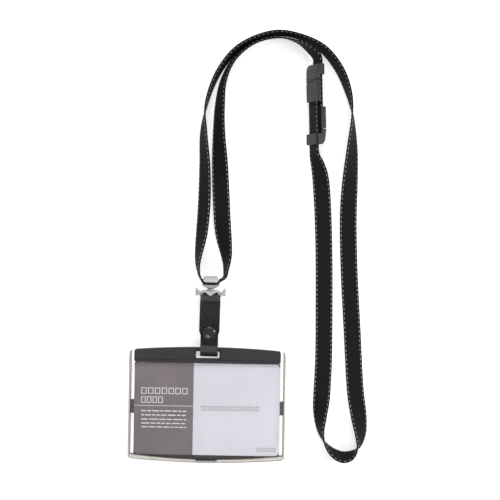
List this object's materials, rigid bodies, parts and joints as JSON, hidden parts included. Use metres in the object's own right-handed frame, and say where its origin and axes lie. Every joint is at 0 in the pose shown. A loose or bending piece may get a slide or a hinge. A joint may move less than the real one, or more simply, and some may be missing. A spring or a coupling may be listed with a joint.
{
  "type": "lanyard badge holder",
  "caption": "Clear hard card case with a charcoal back and top bar, on a snap strap and swivel hung from a stitched webbing neck loop with safety connectors.",
  "frame": {"origin": "middle of the case's flat back face, which rests on the table", "axes": "+X to the right across the case, +Y from the case up its strap to the neck loop, +Z out of the case's front"},
  "size_m": [0.1407, 0.2543, 0.0142],
  "materials": {
    "clear_plastic": "clear moulded plastic, polished",
    "charcoal_plastic": "fine moulded satin",
    "printed_card": "printed card, grey left part and near-white right part",
    "soft_black": "soft embossed synthetic leather",
    "snap_gloss": "glossy black enamel",
    "snap_metal": "nickel-plated pressed metal",
    "frosted_plastic": "frosted translucent grey",
    "connector_plastic": "moulded charcoal, slightly glossy",
    "webbing": "ribbed black tape with light saddle stitches"
  },
  "bodies": {
    "lanyard": {"lanyard_strap": "webbing", "swivel_ring": "frosted_plastic", "upper_clamp_front": "connector_plastic", "upper_clamp_back": "connector_plastic", "lower_clamp_front": "connector_plastic", "lower_clamp_back": "connector_plastic"},
    "upper_connector": {"upper_ring": "connector_plastic"},
    "lower_connector": {"lower_ring": "connector_plastic"},
    "yoke": {"swivel_yoke": "frosted_plastic"},
    "strap": {"snap_strap": "soft_black", "snap_stud": "snap_metal", "snap_rivet": "snap_metal"},
    "flap": {"snap_flap": "soft_black", "snap_cap": "snap_gloss", "snap_socket": "snap_metal"},
    "case": {"back_plate": "charcoal_plastic", "top_bar": "charcoal_plastic", "insert_card": "printed_card"},
    "cover": {"sleeve": "clear_plastic"}
  },
  "joints": [
    {"name": "swivel_turn", "type": "hinge", "parent": "lanyard", "child": "yoke", "pos_m": [0.00117, 0.0666, 0.00694], "axis": [0.0139, 0.992, 0.1253], "continuous": true},
    {"name": "yoke_swing", "type": "hinge", "parent": "yoke", "child": "strap", "pos_m": [0.00115, 0.06472, 0.0067], "axis": [0.9999, -0.014, 0], "range_deg": [-20, 20]},
    {"name": "flap_open", "type": "hinge", "parent": "strap", "child": "flap", "pos_m": [0.00112, 0.06242, 0.00817], "axis": [-0.9999, 0.014, 0], "range_deg": [0, 90]},
    {"name": "case_swing", "type": "hinge", "parent": "strap", "child": "case", "pos_m": [0.0007, 0.03268, 0.00265], "axis": [-1, 0, 0], "range_deg": [-80, 80]},
    {"name": "sleeve_slide", "type": "slide", "parent": "case", "child": "cover", "axis": [0, -1, 0], "range_m": [0, 0.057]},
    {"name": "upper_release", "type": "slide", "parent": "lanyard", "child": "upper_connector", "axis": [-0.0384, 0.9993, 0], "range_m": [0, 0.0032]},
    {"name": "lower_release", "type": "slide", "parent": "lanyard", "child": "lower_connector", "axis": [0.0384, -0.9993, 0], "range_m": [0, 0.0032]}
  ]
}
